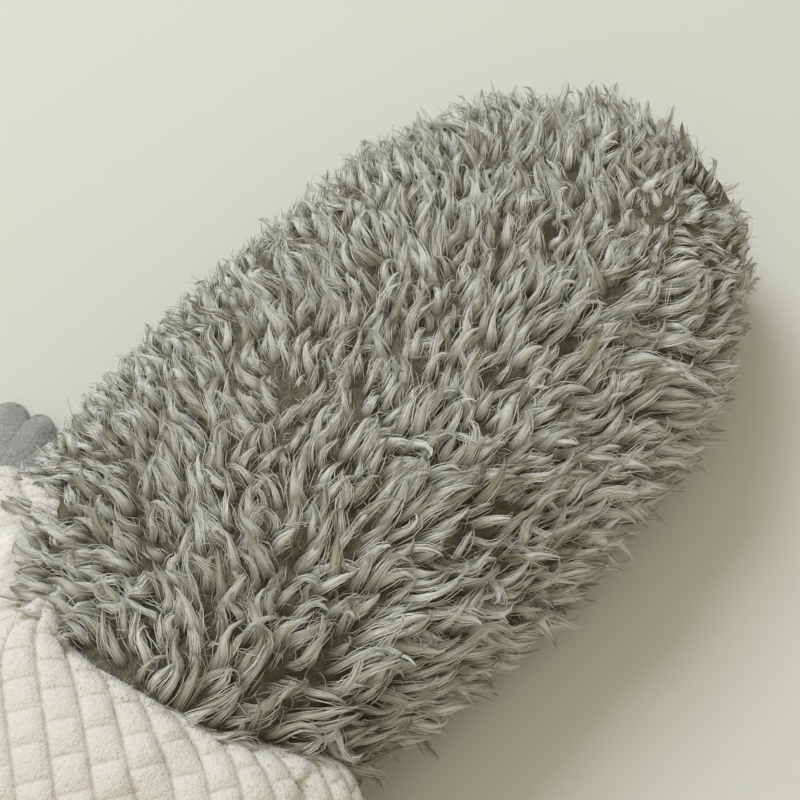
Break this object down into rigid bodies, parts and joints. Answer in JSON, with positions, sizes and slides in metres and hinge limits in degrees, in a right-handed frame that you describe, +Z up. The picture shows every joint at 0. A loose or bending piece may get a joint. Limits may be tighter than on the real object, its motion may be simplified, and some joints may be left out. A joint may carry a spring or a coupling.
{
  "type": "sock puppet",
  "caption": "Shaggy hand puppet lying on its belly, with a hinged mouth, a padded waffle-plush cuff, a lined sleeve for the hand and two scalloped felt feet on swivels.",
  "frame": {"origin": "on the table, under the widest part of the body, in the flat of the belly", "axes": "+X from the cuff to the nose, +Y to the puppet's left, +Z up; the flat of the belly faces -Z"},
  "size_m": [0.335, 0.2621, 0.076],
  "materials": {
    "fur": "long locked pile, grey over olive",
    "waffle_plush": "short plush in puffed squares",
    "grey_felt": "dense matte felt",
    "lining_cloth": "plain woven cotton",
    "filling": "soft polyester wadding",
    "board": "stiff matte board",
    "tongue_felt": "matte felt",
    "eye_plastic": "glossy black",
    "joint_plastic": "satin white"
  },
  "bodies": {
    "sleeve": {"fur_back": "fur", "fur_belly": "fur", "fur_nape": "fur", "fur_jaw": "fur", "lining_sleeve": "lining_cloth", "lining_nape": "lining_cloth", "thumb_pocket": "lining_cloth", "jaw_wadding": "filling", "mouth_plate_lower": "board", "palate_lower": "grey_felt", "tongue": "tongue_felt", "cuff_cover": "waffle_plush", "cuff_wadding": "filling"},
    "head": {"fur_head": "fur", "head_wadding": "filling", "finger_pocket": "lining_cloth", "mouth_plate_upper": "board", "palate_upper": "grey_felt", "eye_left": "eye_plastic", "eye_right": "eye_plastic", "eye_washer_left": "joint_plastic", "eye_washer_right": "joint_plastic"},
    "foot_left": {"foot_left_upper": "grey_felt", "foot_left_sole": "grey_felt", "foot_left_wadding": "filling", "foot_left_joint": "joint_plastic"},
    "foot_right": {"foot_right_upper": "grey_felt", "foot_right_sole": "grey_felt", "foot_right_wadding": "filling", "foot_right_joint": "joint_plastic"}
  },
  "joints": [
    {"name": "mouth_open", "type": "hinge", "parent": "sleeve", "child": "head", "pos_m": [0.066, 0, 0.034], "axis": [0, -1, 0], "range_deg": [0, 45], "deforming": ["fur_nape", "lining_nape"]},
    {"name": "foot_left_swivel", "type": "hinge", "parent": "sleeve", "child": "foot_left", "pos_m": [-0.135, 0.07, 0], "axis": [0, 0, 1], "range_deg": [-22, 103]},
    {"name": "foot_right_swivel", "type": "hinge", "parent": "sleeve", "child": "foot_right", "pos_m": [-0.145, -0.07, 0], "axis": [0, 0, 1], "range_deg": [-24, 101]}
  ]
}
